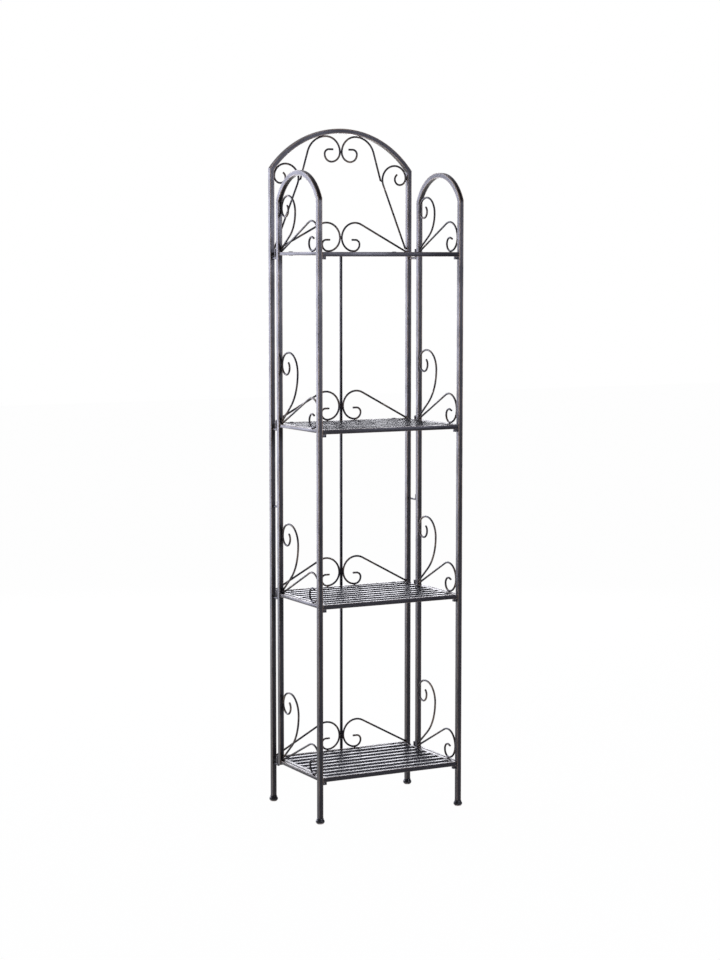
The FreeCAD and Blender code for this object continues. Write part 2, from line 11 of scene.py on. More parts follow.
import bmesh
import bpy
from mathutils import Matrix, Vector

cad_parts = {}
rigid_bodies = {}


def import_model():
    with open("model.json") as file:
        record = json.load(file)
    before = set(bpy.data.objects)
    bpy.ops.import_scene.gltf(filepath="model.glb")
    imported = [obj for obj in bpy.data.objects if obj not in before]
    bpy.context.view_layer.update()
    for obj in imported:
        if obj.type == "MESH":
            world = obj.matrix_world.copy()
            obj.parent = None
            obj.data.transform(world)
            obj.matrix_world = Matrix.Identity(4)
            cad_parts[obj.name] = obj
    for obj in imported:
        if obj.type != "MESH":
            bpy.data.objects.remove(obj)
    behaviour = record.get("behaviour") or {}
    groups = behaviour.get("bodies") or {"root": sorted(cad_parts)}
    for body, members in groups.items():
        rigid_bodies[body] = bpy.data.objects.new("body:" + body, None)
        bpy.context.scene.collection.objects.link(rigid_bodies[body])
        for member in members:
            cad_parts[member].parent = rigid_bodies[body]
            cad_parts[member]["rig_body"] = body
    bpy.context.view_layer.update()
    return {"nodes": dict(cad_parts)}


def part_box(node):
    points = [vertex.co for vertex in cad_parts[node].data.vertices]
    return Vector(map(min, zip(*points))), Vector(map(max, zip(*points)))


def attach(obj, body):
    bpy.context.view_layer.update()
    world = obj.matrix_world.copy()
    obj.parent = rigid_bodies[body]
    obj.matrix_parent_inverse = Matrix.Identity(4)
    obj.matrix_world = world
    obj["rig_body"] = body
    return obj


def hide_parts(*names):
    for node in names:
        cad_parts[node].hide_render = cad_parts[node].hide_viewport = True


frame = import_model()
nodes = frame["nodes"]

# %% [markdown]
# ## Selecting
# Operators act on whatever is selected, and the loaded nodes are all selected at the start. So these
# helpers make one object the only selected one, step in and out of edit mode, and put a piece's place
# into its mesh.


# %% Selecting helpers
def only(piece):
    """Make one object the active and only selected one."""
    bpy.ops.object.select_all(action="DESELECT")
    piece.select_set(True)
    bpy.context.view_layer.objects.active = piece


def edit(piece):
    """Edit mode on one object, with its whole mesh selected."""
    only(piece)
    bpy.ops.object.mode_set(mode="EDIT")
    bpy.ops.mesh.select_all(action="SELECT")


def done():
    bpy.ops.object.mode_set(mode="OBJECT")


def settle(piece):
    """Put a piece's place into its mesh, so that its object sits at the origin."""
    only(piece)
    bpy.ops.object.transform_apply(location=True, rotation=True, scale=True)
    return piece


# %% [markdown]
# ## Finishes
# The coat is a satin powder: very dark, a little violet, with the fine pebbled skin that powder leaves
# when it melts. A picture of painted metal could be wrapped round each piece, but it would need
# unwrapping, show seams and blur close up. Noise on the piece's own coordinates does none of that. What
# several paints share is a node group, built once, and these helpers add its nodes: each input is a
# plain value or another node's socket.


# %% Node helpers
def feed(tree, value, socket):
    """Put a plain value on a socket, or link another socket to it."""
    if isinstance(value, bpy.types.NodeSocket):
        tree.links.new(value, socket)
    else:
        socket.default_value = value


def coordinates(tree, kind="Object"):
    return tree.nodes.new("ShaderNodeTexCoord").outputs[kind]


def noise(tree, place, scale, detail=3.0, roughness=0.55):
    node = tree.nodes.new("ShaderNodeTexNoise")
    settings = {"Vector": place, "Scale": scale, "Detail": detail, "Roughness": roughness}
    for label, value in settings.items():
        feed(tree, value, node.inputs[label])
    return node.outputs["Fac"]


def ramp(tree, value, span, result=(0.0, 1.0)):
    """Smooth step of a value, from one span to another."""
    node = tree.nodes.new("ShaderNodeMapRange")
    node.interpolation_type = "SMOOTHSTEP"
    feed(tree, value, node.inputs["Value"])
    for label, number in zip(("From Min", "From Max", "To Min", "To Max"), (*span, *result)):
        feed(tree, number, node.inputs[label])
    return node.outputs["Result"]


def math_node(tree, operation, a, b):
    node = tree.nodes.new("ShaderNodeMath")
    node.operation = operation
    feed(tree, a, node.inputs[0])
    feed(tree, b, node.inputs[1])
    return node.outputs[0]


# %% Colour and group helpers
def mix_color(tree, share, a, b, blend="MIX"):
    """Mix of two colours. A Mix node has an A and a B for each kind of data, so they are picked by type."""
    node = tree.nodes.new("ShaderNodeMix")
    node.data_type = "RGBA"
    node.blend_type = blend
    feed(tree, share, node.inputs["Factor"])
    for label, value in (("A", a), ("B", b)):
        feed(tree, value, next(s for s in node.inputs if s.name == label and s.type == "RGBA"))
    return next(s for s in node.outputs if s.type == "RGBA")


def new_group(name, inputs, outputs):
    """Empty shader group with named sockets, each input given with its type and its default."""
    group = bpy.data.node_groups.new(name, "ShaderNodeTree")
    for label, kind, default in inputs:
        socket = group.interface.new_socket(label, in_out="INPUT", socket_type=kind)
        socket.default_value = default
    for label, kind in outputs:
        group.interface.new_socket(label, in_out="OUTPUT", socket_type=kind)
    return group, group.nodes.new("NodeGroupInput"), group.nodes.new("NodeGroupOutput")


# %% [markdown]
# ### Powder skin
# Sprayed powder never melts quite evenly. A broad cloud and a fine grain lift and lower the tone, the
# cloud alone shifts the gloss, and a third noise is the height of the pebbles. One noise for all three
# would be shorter, but then every dark patch would also be a glossy dent, and that looks printed.

# %% Powder skin
CHARCOAL = (0.0098, 0.0078, 0.0098, 1.0)
TUBE_PEBBLE = 900.0
CLOUD_SCALE, GRAIN_SCALE = 14.0, 260.0
MOTTLE_SPAN, MOTTLE_TONES = (0.7, 1.3), (0.72, 1.3)
CLOUD_SPAN, SATIN_ROUGHNESS = (0.3, 0.7), (0.30, 0.44)
powder_skin, ins, outs = new_group(
    "powder_skin",
    [("Tone", "NodeSocketColor", CHARCOAL), ("Pebble", "NodeSocketFloat", TUBE_PEBBLE)],
    [("Color", "NodeSocketColor"), ("Gloss", "NodeSocketFloat"), ("Height", "NodeSocketFloat")])
place = coordinates(powder_skin)
cloud = noise(powder_skin, place, CLOUD_SCALE)
grain = noise(powder_skin, place, GRAIN_SCALE, detail=2.0)
mottle = ramp(powder_skin, math_node(powder_skin, "ADD", cloud, grain), MOTTLE_SPAN, MOTTLE_TONES)
tone = mix_color(powder_skin, 1.0, ins.outputs["Tone"], mottle, "MULTIPLY")
feed(powder_skin, tone, outs.inputs["Color"])
feed(powder_skin, ramp(powder_skin, cloud, CLOUD_SPAN, SATIN_ROUGHNESS), outs.inputs["Gloss"])
feed(powder_skin, noise(powder_skin, place, ins.outputs["Pebble"], detail=2.0), outs.inputs["Height"])
print("group", powder_skin.name, len(powder_skin.nodes), "nodes")

# %% [markdown]
# ### Brushed bronze
# The bronze is put on with a nearly dry brush, so it breaks up into flecks. An edge detector could
# place it, but on slender bars it would find an edge everywhere. Here a broad noise says where the
# brush passed, a fine one breaks that up, and `Cover` says how much is left.

# %% Brushed bronze
ROD_STROKES = (30.0, 420.0)
BAR_STROKES = (16.0, 240.0)
FLECK_SHARE = 0.6
STROKE_SPAN = (1.15, 1.55)
brushed, ins, outs = new_group(
    "brushed",
    [("Cover", "NodeSocketFloat", 0.5),
     ("Broad", "NodeSocketFloat", ROD_STROKES[0]),
     ("Fine", "NodeSocketFloat", ROD_STROKES[1])],
    [("Mask", "NodeSocketFloat")])
place = coordinates(brushed)
broad = noise(brushed, place, ins.outputs["Broad"], detail=4.0)
fine = noise(brushed, place, ins.outputs["Fine"], detail=3.0, roughness=0.7)
stroke = math_node(brushed, "ADD", math_node(brushed, "MULTIPLY", fine, FLECK_SHARE), broad)
stroke = math_node(brushed, "ADD", stroke, ins.outputs["Cover"])
feed(brushed, ramp(brushed, stroke, STROKE_SPAN), outs.inputs["Mask"])
print("group", brushed.name, len(brushed.nodes), "nodes")

# %% [markdown]
# ### Paints
# On the tubes of the frames the bronze lies only along the corners, which carry a mark in their mesh, and
# it thins out towards the floor: painted shade that darkens the lower posts. The rolled edges of rails and
# shelf bars have a paint of their own. Rods and pins have bronze brushed over all their round, and slats,
# feet and glides have none. One paint with a mask for every case would be hard to read, so one function
# makes a plain material for each.

# %% Bronze over a coat
BRONZE = (0.34, 0.262, 0.185, 1.0)
WEAR_MARK = "edge"
# Heights and shares over which the corner bronze thins towards the floor: painted shade on the lower posts.
SHADE_FADE_HEIGHTS, SHADE_FADE_SHARES = (0.3, 1.2), (0.38, 1.0)


def along(tree, axis, kind="Object"):
    """One coordinate of the shaded point, as a value."""
    split = tree.nodes.new("ShaderNodeSeparateXYZ")
    feed(tree, coordinates(tree, kind), split.inputs["Vector"])
    return split.outputs[axis]


def with_bronze(tree, color, cover, strokes, on_corners):
    """Bronze brushed over a colour, everywhere or along marked corners only."""
    brush = tree.nodes.new("ShaderNodeGroup")
    brush.node_tree = brushed
    for label, value in zip(("Cover", "Broad", "Fine"), (cover, *strokes)):
        feed(tree, value, brush.inputs[label])
    mask = brush.outputs["Mask"]
    if on_corners:
        mark = tree.nodes.new("ShaderNodeAttribute")
        mark.attribute_name = WEAR_MARK
        mask = math_node(tree, "MULTIPLY", mask, mark.outputs["Fac"])
        # Less bronze towards the floor: painted shade that darkens the lower posts.
        mask = math_node(tree, "MULTIPLY", mask, ramp(tree, along(tree, "Z"), SHADE_FADE_HEIGHTS, SHADE_FADE_SHARES))
    return mix_color(tree, mask, color, BRONZE)


# %% Paints
# The slats' black is darker than the frames' charcoal: painted shade for the gaps between the slats.
SLAT_BLACK_AND_SHADE = (0.0055, 0.0046, 0.0056, 1.0)
FOOT_BLACK = (0.010, 0.010, 0.011, 1.0)
GLIDE_BEIGE = (0.62, 0.54, 0.46, 1.0)
ROD_PEBBLE, FOOT_PEBBLE, FELT_PEBBLE = 1100.0, 1500.0, 2600.0
PEBBLE_DEPTH = 0.0002


def paint(name, tone, pebble, bump, sheen=0.5, cover=None, strokes=ROD_STROKES, on_corners=False):
    """Satin coat with its pebbled skin and, where a cover is given, bronze brushed over it."""
    material = bpy.data.materials.new(name)
    material.use_nodes = True
    tree = material.node_tree
    shader = tree.nodes["Principled BSDF"]
    shader.inputs["Specular IOR Level"].default_value = sheen
    skin = tree.nodes.new("ShaderNodeGroup")
    skin.node_tree = powder_skin
    feed(tree, tone, skin.inputs["Tone"])
    feed(tree, pebble, skin.inputs["Pebble"])
    color = skin.outputs["Color"]
    if cover is not None:
        color = with_bronze(tree, color, cover, strokes, on_corners)
    feed(tree, color, shader.inputs["Base Color"])
    feed(tree, skin.outputs["Gloss"], shader.inputs["Roughness"])
    relief = tree.nodes.new("ShaderNodeBump")
    feed(tree, bump, relief.inputs["Strength"])
    feed(tree, PEBBLE_DEPTH, relief.inputs["Distance"])
    feed(tree, skin.outputs["Height"], relief.inputs["Height"])
    feed(tree, relief.outputs["Normal"], shader.inputs["Normal"])
    print("paint", name, len(tree.nodes), "nodes")
    return material


bow_paint = paint("rubbed_tube", CHARCOAL, TUBE_PEBBLE, bump=0.12, cover=0.63, strokes=BAR_STROKES,
                  on_corners=True)
tube_paint = paint("charcoal_tube", CHARCOAL, TUBE_PEBBLE, bump=0.12)
bar_paint = paint("rubbed_bar", CHARCOAL, TUBE_PEBBLE, bump=0.12, sheen=0.2, cover=0.3, strokes=BAR_STROKES)
edge_paint = paint("rubbed_edge", CHARCOAL, TUBE_PEBBLE, bump=0.2, cover=0.74, strokes=BAR_STROKES)
# The slats' paint carries painted shade: its black is darker than the charcoal of the frames.
slat_paint_with_shade = paint("charcoal_slat_and_shade", SLAT_BLACK_AND_SHADE, TUBE_PEBBLE, bump=0.008, sheen=0.7)
rod_paint = paint("charcoal_rod", CHARCOAL, ROD_PEBBLE, bump=0.25, sheen=0.36, cover=0.42)
pin_paint = paint("rubbed_pin", CHARCOAL, ROD_PEBBLE, bump=0.2, cover=0.36)
foot_paint = paint("moulded_foot", FOOT_BLACK, FOOT_PEBBLE, bump=0.35)
glide_paint = paint("felt_glide", GLIDE_BEIGE, FELT_PEBBLE, bump=0.5, sheen=0.2)

# %% [markdown]
# ## The bent frames
# Each frame is one length of square tube: up a post, over an arch and down the other post. The model
# has three solids with a mitre between them, and their seams would show. A curve with a square section
# could follow the bend, but the paint needs marked corners, and a curve has no vertices to mark. So the
# tube is drawn as one mesh.
#
# It starts as a small square. A bevel of its corners rounds them, and each flat is split a little way
# from them. The corners get the mark that the paint reads, and the strip beside them lets the bronze
# fade out.

# %% Outline of the tube
CORNER = 0.0018
CORNER_STEPS = 4
CORNER_FULLNESS = 0.72
WORN_STRIP = 0.0008
TUBE_FLATS = 4


def mark_corners(outline):
    """Split each flat of a tube's outline beside its corners, and mark the corners for the brush."""
    mesh = bmesh.from_edit_mesh(outline.data)
    worn = mesh.verts.layers.float.new(WEAR_MARK)
    flats = sorted(mesh.edges, key=lambda edge: edge.calc_length())[-TUBE_FLATS:]
    corners = list(mesh.verts)
    for flat in flats:
        for vert in tuple(flat.verts):
            long_part = max(vert.link_edges, key=lambda edge: edge.calc_length())
            bmesh.utils.edge_split(long_part, vert, WORN_STRIP / long_part.calc_length())
    for vert in corners:
        vert[worn] = 1.0
    bmesh.update_edit_mesh(outline.data)


def tube_outline(name, tube, place):
    """Square with rounded and marked corners, left in edit mode and ready to be extruded."""
    bpy.ops.object.select_all(action="DESELECT")
    bpy.ops.mesh.primitive_plane_add(size=tube, location=place)
    outline = settle(bpy.context.active_object)
    outline.name = name
    edit(outline)
    bpy.ops.mesh.bevel(offset=CORNER, affect="VERTICES", segments=CORNER_STEPS, profile=CORNER_FULLNESS)
    mark_corners(outline)
    return outline


# %% [markdown]
# The outline is extruded up the post in two steps. The second, short one is a support: smooth shading
# spreads over a face, and without that ring the kink would tilt the light all the way down the post.
# The end is then slid onto the mitre, extruded onto a spoke of the arch, and spun about the arch's
# centre to the crown. A mirror makes the other half, which keeps both sides alike.

# %% Moves in edit mode
SEAM_MERGE = 0.00002


def extrude(step):
    bpy.ops.mesh.extrude_region_move(TRANSFORM_OT_translate={"value": step})


def move_end(bow, moved):
    """Give each vertex of the open end the x and z that a function works out from its place."""
    mesh = bmesh.from_edit_mesh(bow.data)
    for vert in (v for v in mesh.verts if v.select):
        vert.co.x, vert.co.z = moved(vert.co)
    bmesh.update_edit_mesh(bow.data)


def close_seams():
    """Merge what lies together in the mesh being edited, and turn its faces outwards."""
    bpy.ops.mesh.remove_doubles(threshold=SEAM_MERGE)
    bpy.ops.mesh.normals_make_consistent(inside=False)


# %% Draw a bent frame
SUPPORT = 0.6
ARCH_STEPS = 26
MIRROR_MERGE = 0.0002


def bent_frame(name, half_chord, tube, foot, spring, peak):
    """Square tube in the XZ plane about x = 0, with both posts on the same foot height."""
    rise = peak - spring
    radius = (half_chord ** 2 + rise ** 2) / (2 * rise)
    centre = peak - radius
    start = math.acos((half_chord - tube) / (radius - tube))

    def on_mitre(place):
        reach = radius - (place.x + half_chord)
        return place.x, centre + math.sqrt(reach ** 2 - place.x ** 2)

    def on_spoke(place):
        reach = radius - (place.x + half_chord)
        return -reach * math.cos(start), centre + reach * math.sin(start)

    bow = tube_outline(name, tube, (tube / 2 - half_chord, 0, foot))
    extrude((0, 0, spring - foot - SUPPORT * tube))
    extrude((0, 0, SUPPORT * tube))
    move_end(bow, on_mitre)
    extrude((0, 0, 0))
    move_end(bow, on_spoke)
    bpy.ops.mesh.spin(steps=ARCH_STEPS, angle=start - math.pi / 2, center=(0, 0, centre), axis=(0, 1, 0))
    bpy.ops.mesh.delete(type="ONLY_FACE")
    done()
    mirror = bow.modifiers.new("other_half", "MIRROR")
    mirror.use_clip = True
    mirror.merge_threshold = MIRROR_MERGE
    only(bow)
    bpy.ops.object.modifier_apply(modifier=mirror.name)
    edit(bow)
    close_seams()
    done()
    return bow


# %% [markdown]
# Every finished piece is painted and hung on the body that it moves with, and the nodes of the model that
# it stands for are hidden. Doing that in one helper means that no piece can miss a step. The other helper
# counts a piece's triangles, and its edges that lack a face on one side: a closed shell has none.

# %% Finishing helpers
BEND_ANGLE = 35


def smooth(piece, degrees=BEND_ANGLE):
    only(piece)
    bpy.ops.object.shade_smooth_by_angle(angle=math.radians(degrees))
    return piece


def fit(piece, body, coat, slot, *stands_for):
    """Last step of a piece: its paint, its body and the nodes that it stands for. The slot is not used."""
    piece.data.materials.clear()
    piece.data.materials.append(coat)
    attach(piece, body)
    if stands_for:
        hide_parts(*stands_for)
    return piece


def measure(piece):
    """Print a piece's triangles and open edges."""
    mesh = bmesh.new()
    mesh.from_mesh(piece.data)
    count = len(mesh.calc_loop_triangles())
    loose = sum(not edge.is_manifold for edge in mesh.edges)
    mesh.free()
    print(piece.name, count, "triangles,", loose, "open edges")


# %% [markdown]
# The back frame's posts reach the floor on both sides, so its tube is ready as drawn. It takes its
# width, its heights and its place from the boxes of the three nodes that it stands for.

# %% Back frame
arch_low, arch_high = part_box("back_arch")
post_low, post_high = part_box("back_left_post")
tube = post_high.x - post_low.x
back_bow = bent_frame("back_bow", arch_high.x, tube, post_low.z, post_high.z, arch_high.z)
back_bow.location.y = (arch_low.y + arch_high.y) / 2
smooth(settle(back_bow))
fit(back_bow, "back_frame", bow_paint, "frame_iron", "back_left_post", "back_right_post", "back_arch")
measure(back_bow)

# %% [markdown]
# A side frame's rear post hangs on the hinge pins and ends at the lowest shelf. Drawing two unlike posts
# would take a second function, so the same tube is drawn, the end of one post is moved up, and the
# whole is turned a quarter round to face sideways.

# %% Side frames
SIDES = ("left", "right")
for side in SIDES:
    arch_low, arch_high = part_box(f"{side}_arch")
    front_low, front_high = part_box(f"{side}_front_post")
    rear_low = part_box(f"{side}_rear_post")[0]
    half_chord = (arch_high.y - arch_low.y) / 2
    bow = bent_frame(f"{side}_bow", half_chord, tube, front_low.z, front_high.z, arch_high.z)
    edit(bow)
    bpy.ops.mesh.select_all(action="DESELECT")
    mesh = bmesh.from_edit_mesh(bow.data)
    for vert in mesh.verts:
        vert.select = vert.co.x > 0 and vert.co.z < front_low.z + tube
    mesh.select_flush_mode()
    bpy.ops.transform.translate(value=(0, 0, rear_low.z - front_low.z))
    done()
    bow.rotation_euler.z = math.pi / 2
    bow.location = ((arch_low.x + arch_high.x) / 2, (arch_low.y + arch_high.y) / 2, 0)
    smooth(settle(bow))
    fit(bow, f"{side}_side_frame", bow_paint, "frame_iron",
        f"{side}_front_post", f"{side}_rear_post", f"{side}_arch")
    measure(bow)

# %% [markdown]
# ## Softened copies
# Rails, bars, slats, hinge fittings and rods have the right shape in the model, but razor-sharp edges,
# and a small round is what catches the light along real metal. They could be modelled anew, but a copy
# keeps every fit. A copy has its loose triangles merged and its flat faces made whole, so that the
# bevel finds only true edges. Hardened normals keep the flats beside the bevel evenly lit, where plain
# smoothing would puff them up.

# %% Soften a copy
MERGE = 0.00001
FLAT_ANGLE, SHARP_ANGLE = math.radians(1), math.radians(40)
ROLL_STEPS = 2


def whole_copy(name):
    """Copy of a node with its own mesh, merged triangles and whole faces."""
    piece = bpy.data.objects.new(f"{name}_soft", nodes[name].data.copy())
    bpy.context.scene.collection.objects.link(piece)
    edit(piece)
    bpy.ops.mesh.remove_doubles(threshold=MERGE)
    bpy.ops.mesh.dissolve_limited(angle_limit=FLAT_ANGLE)
    done()
    return piece


def softened(name, radius):
    """Whole copy of a node with its sharp edges rounded."""
    piece = whole_copy(name)
    only(piece)
    bpy.ops.object.shade_smooth()
    bevel = piece.modifiers.new("rolled_edge", "BEVEL")
    bevel.width = radius
    bevel.segments = ROLL_STEPS
    bevel.limit_method = "ANGLE"
    bevel.angle_limit = SHARP_ANGLE
    bevel.harden_normals = True
    bpy.ops.object.modifier_apply(modifier=bevel.name)
    return piece


def stand_in(piece, name, coat, slot="frame_iron"):
    """Fit a piece that stands for one node, on that node's body."""
    return fit(piece, nodes[name]["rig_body"], coat, slot, name)


# %% [markdown]
# ### Rails, shelf bars and centre rods
# These are square bar. The brush leaves bronze on the rolled edges of rails and shelf bars, and their
# flats stay dark. A mark as on the tubes would do, but a bar's edges already have faces of their own:
# those that lie askew to the axes. They get the rubbed paint as a second material. The centre rods
# stand alone before the white, where a glossy flat would look cut away, so they wear one duller paint.

# %% Rails, bars and centre rods
LEVELS = (1, 2, 3, 4)
BAR_ROUND = 0.0008
FLAT = 0.985
rails = [f"back_rail_{level}" for level in LEVELS] + ["left_rails", "right_rails"]
bars = [f"shelf_{level}_{part}" for level in LEVELS for part in ("front_bar", "side_bars")]
centre_rods = [f"centre_rod_{level}" for level in LEVELS[:-1]]


def rub_edges(piece):
    """Rubbed paint on the rolled edges of a square piece: the faces that lie askew."""
    piece.data.materials.append(edge_paint)
    for face in piece.data.polygons:
        face.material_index = int(max(abs(part) for part in face.normal) < FLAT)


for name in rails + bars:
    rub_edges(stand_in(softened(name, BAR_ROUND), name, tube_paint))
for name in centre_rods:
    stand_in(softened(name, BAR_ROUND), name, bar_paint)
print(len(rails), "rails,", len(bars), "sets of bars and", len(centre_rods), "centre rods")

# %% [markdown]
# ### Slats
# A slat is a strip of sheet folded down along both sides, so its top edges are far rounder than a
# bar's. A modifier would round the sawn ends as well, so only the long top edges are picked, by their
# height and direction, and bevelled in edit mode.

# %% Slats
FOLD_RADIUS = 0.0034
FOLD_STEPS = 6
SAME = 0.0001


def rolled_slats(name):
    """Copy of a shelf's slats with the folded top edges rounded."""
    piece = whole_copy(name)
    edit(piece)
    bpy.ops.mesh.select_all(action="DESELECT")
    mesh = bmesh.from_edit_mesh(piece.data)
    top = max(vert.co.z for vert in mesh.verts)
    for edge in mesh.edges:
        start, end = (vert.co for vert in edge.verts)
        edge.select = min(start.z, end.z) > top - SAME and abs(start.y - end.y) < SAME
    bpy.ops.mesh.bevel(offset=FOLD_RADIUS, segments=FOLD_STEPS, affect="EDGES")
    done()
    return smooth(piece)


for level in LEVELS:
    name = f"shelf_{level}_slats"
    measure(stand_in(rolled_slats(name), name, slat_paint_with_shade))

# %% [markdown]
# ### Hinge fittings
# The side frames swing on knuckles over bent pins. The shelves turn in small eyes on the back rails, and
# their front bars rest on pegs. Bores and pins have to keep their clearance, so a small bevel on a copy
# is all that they get.

# %% Hinge fittings
FITTING_ROUND, PIN_ROUND = 0.0004, 0.0007
for name in ("left_knuckles", "right_knuckles", "left_pegs", "right_pegs", "shelf_eyes"):
    measure(stand_in(softened(name, FITTING_ROUND), name, tube_paint))
for name in ("left_pintles", "right_pintles", "left_hook", "right_hook"):
    measure(stand_in(softened(name, PIN_ROUND), name, pin_paint))

# %% [markdown]
# ### Scrolls
# The scrolls are round rod bent cold around formers. A curve with a round bevel could draw them again,
# but it would have to match the model's arcs point by point. A copy has them already, and only the sawn
# ends need a rounded lip.

# %% Scrolls
LIP_ROUND = 0.0008
scrolls = [f"back_scrolls_{level}" for level in LEVELS]
scrolls += [f"{part}_scroll_{side}" for part in ("crest", "crown") for side in SIDES]
scrolls += [f"{side}_{part}_scrolls" for part in ("tall", "low") for side in SIDES]
for name in scrolls:
    measure(stand_in(softened(name, LIP_ROUND), name, rod_paint, "scroll_iron"))

# %% [markdown]
# ### Shelf rods
# The rear edge of each shelf is a straight round rod that turns in the eyes. A new cylinder would do, but
# the copy has its true size in the bore, so it is kept and only its ends are rounded.

# %% Shelf rods
ROD_END_ROUND = 0.0006
for level in LEVELS:
    name = f"shelf_{level}_rear_rod"
    measure(stand_in(softened(name, ROD_END_ROUND), name, tube_paint))

# %% [markdown]
# ## Feet
# A moulded cap plugs each post. It flares out under the tube, rolls in at the bottom and holds a pale
# glide that touches the floor. A cylinder could be scaled ring by ring, but a turned shape is easier to
# read as half of its outline. One vertex is extruded from point to point, and the line is spun about
# the post's middle.

# %% Turn a shape
SPIN_STEPS = 32
FOOT_ANGLE = 50
START_SIZE = 0.001


def turned(name, outline, x, y):
    """Closed shape spun from half of its outline, given as radius and height."""
    bpy.ops.object.select_all(action="DESELECT")
    bpy.ops.mesh.primitive_plane_add(size=START_SIZE, location=(outline[0][0], 0, outline[0][1]))
    piece = settle(bpy.context.active_object)
    piece.name = name
    edit(piece)
    bpy.ops.mesh.merge(type="CENTER")
    for (radius, height), (next_radius, next_height) in zip(outline, outline[1:]):
        extrude((next_radius - radius, 0, next_height - height))
    bpy.ops.mesh.select_all(action="SELECT")
    bpy.ops.mesh.spin(steps=SPIN_STEPS, angle=2 * math.pi, center=(0, 0, 0), axis=(0, 0, 1))
    bpy.ops.mesh.select_all(action="SELECT")
    close_seams()
    done()
    piece.location = (x, y, 0)
    return smooth(settle(piece), FOOT_ANGLE)


# %% Feet
CAP_OUTLINE = ((0.0, 0.0024), (0.0090, 0.0024), (0.0103, 0.0030), (0.01092, 0.0044), (0.01098, 0.0060),
               (0.0108, 0.0078), (0.0102, 0.0092), (0.0094, 0.0101), (0.0088, 0.0108), (0.0087, 0.0133),
               (0.0080, 0.0140), (0.0, 0.0140))
GLIDE_OUTLINE = ((0.0, 0.0), (0.0078, 0.0), (0.0086, 0.0004), (0.0089, 0.0012), (0.0089, 0.0026),
                 (0.0, 0.0026))
for name in ("back_left_foot", "back_right_foot", "left_front_foot", "right_front_foot"):
    low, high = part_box(name)
    middle = (low + high) / 2
    cap = turned(f"{name}_cap", CAP_OUTLINE, middle.x, middle.y)
    measure(stand_in(cap, name, foot_paint, "foot_cap"))
    glide = turned(f"{name}_glide", GLIDE_OUTLINE, middle.x, middle.y)
    measure(fit(glide, nodes[name]["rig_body"], glide_paint, "foot_cap"))

# %% [markdown]
# ## Weld beads
# A short bead of weld holds each rod where it touches a post, a rail or its twin, and the model leaves
# a hairline there. Every bead could be modelled by itself, but at this size nobody could tell them
# apart. So one small ball is pressed flat and made lumpy with a seeded random move, and copies of it,
# each turned another way, sit at every touching place of a frame.

# %% One bead
BEAD_RADIUS = 0.0029
BEAD_SQUASH = (1.0, 0.85, 0.85)
BEAD_LUMPS = 0.0007
bpy.ops.object.select_all(action="DESELECT")
bpy.ops.mesh.primitive_ico_sphere_add(subdivisions=3, radius=BEAD_RADIUS)
bead = bpy.context.active_object
edit(bead)
bpy.ops.transform.resize(value=BEAD_SQUASH)
bpy.ops.transform.vertex_random(offset=BEAD_LUMPS, seed=4)
bpy.ops.mesh.vertices_smooth(factor=0.5, repeat=2)
done()
print("bead:", [round(side * 1000, 1) for side in bead.dimensions], "mm")

# %% Beads on a frame
TURN_STEP = 2.4
BEAD_ANGLE = 60


def weld(name, body, places):
    """Beads at all the touching places of one frame, joined into one piece."""
    beads = []
    for index, place in enumerate(places):
        copy = bpy.data.objects.new(f"{name}_{index}", bead.data.copy())
        bpy.context.scene.collection.objects.link(copy)
        copy.location = place
        copy.rotation_euler = (index * TURN_STEP, 0, index * TURN_STEP / 2)
        beads.append(copy)
    only(beads[0])
    for copy in beads:
        copy.select_set(True)
    bpy.ops.object.join()
    piece = settle(beads[0])
    piece.name = name
    measure(fit(smooth(piece, BEAD_ANGLE), body, rod_paint, "scroll_iron"))


# %% [markdown]
# In the back frame, each low scroll is held at its stem's foot, under its bowl, and at its waist, to
# the centre rod or, on the top rail, to its twin. Above the top rail, the crest scrolls are held to the
# posts, and the crown scrolls to the crest scrolls, to the arch and to each other. Places are measured
# from the boxes of rails, posts and arch.

# %% Welds of the low back scrolls
SCROLL_BOWL = 0.0335
ROD_REST = 0.0027
BOWL_REACH = ROD_REST + SCROLL_BOWL
STEM_IN, CURL_IN = 0.0014, 0.0006
BACK_STEM_LIFT, BOWL_LIFT = 0.0018, 0.0004
rail_low, rail_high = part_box("back_rail_1")
rail_y = (rail_low.y + rail_high.y) / 2
rail_tops = [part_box(f"back_rail_{level}")[1].z for level in LEVELS]
inner_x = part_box("back_right_post")[0].x
centre_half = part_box("centre_rod_1")[1].x
touching = []
for top in rail_tops:
    half = centre_half if top < rail_tops[-1] else 0.0
    for sign in (-1, 1):
        touching.append((sign * (inner_x - STEM_IN), rail_y, top + BACK_STEM_LIFT))
        touching.append((sign * (half + BOWL_REACH), rail_y, top + BOWL_LIFT))
        if half:
            touching.append((sign * half, rail_y, top + BOWL_REACH))
    if not half:
        touching.append((0.0, rail_y, top + BOWL_REACH))
print(len(touching), "beads on the low back scrolls")

# %% Welds of the crest and the crown
TALL_STEM_LIFT = 0.0095
CREST_DROP, CROWN_TWIN_DROP = 0.1209, 0.0586
CROWN_FOOT_X, CROWN_FOOT_DROP = 0.1168, 0.1288
CROWN_TOP_X, CROWN_TOP_DROP = 0.0548, 0.0188
arch_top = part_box("back_arch")[1].z
for sign in (-1, 1):
    touching.append((sign * (inner_x - STEM_IN), rail_y, rail_tops[-1] + TALL_STEM_LIFT))
    touching.append((sign * (inner_x - CURL_IN), rail_y, arch_top - CREST_DROP))
    touching.append((sign * CROWN_FOOT_X, rail_y, arch_top - CROWN_FOOT_DROP))
    touching.append((sign * CROWN_TOP_X, rail_y, arch_top - CROWN_TOP_DROP))
touching.append((0.0, rail_y, arch_top - CROWN_TWIN_DROP))
weld("back_welds", "back_frame", touching)

# %% [markdown]
# In a side frame, every level has a low and a tall scroll. Both stems are held to the rear post, the
# tall curl as well, and the low curl to the front post and to the rail under its bowl. The top tall
# scroll is shorter, because it stands under the arch.

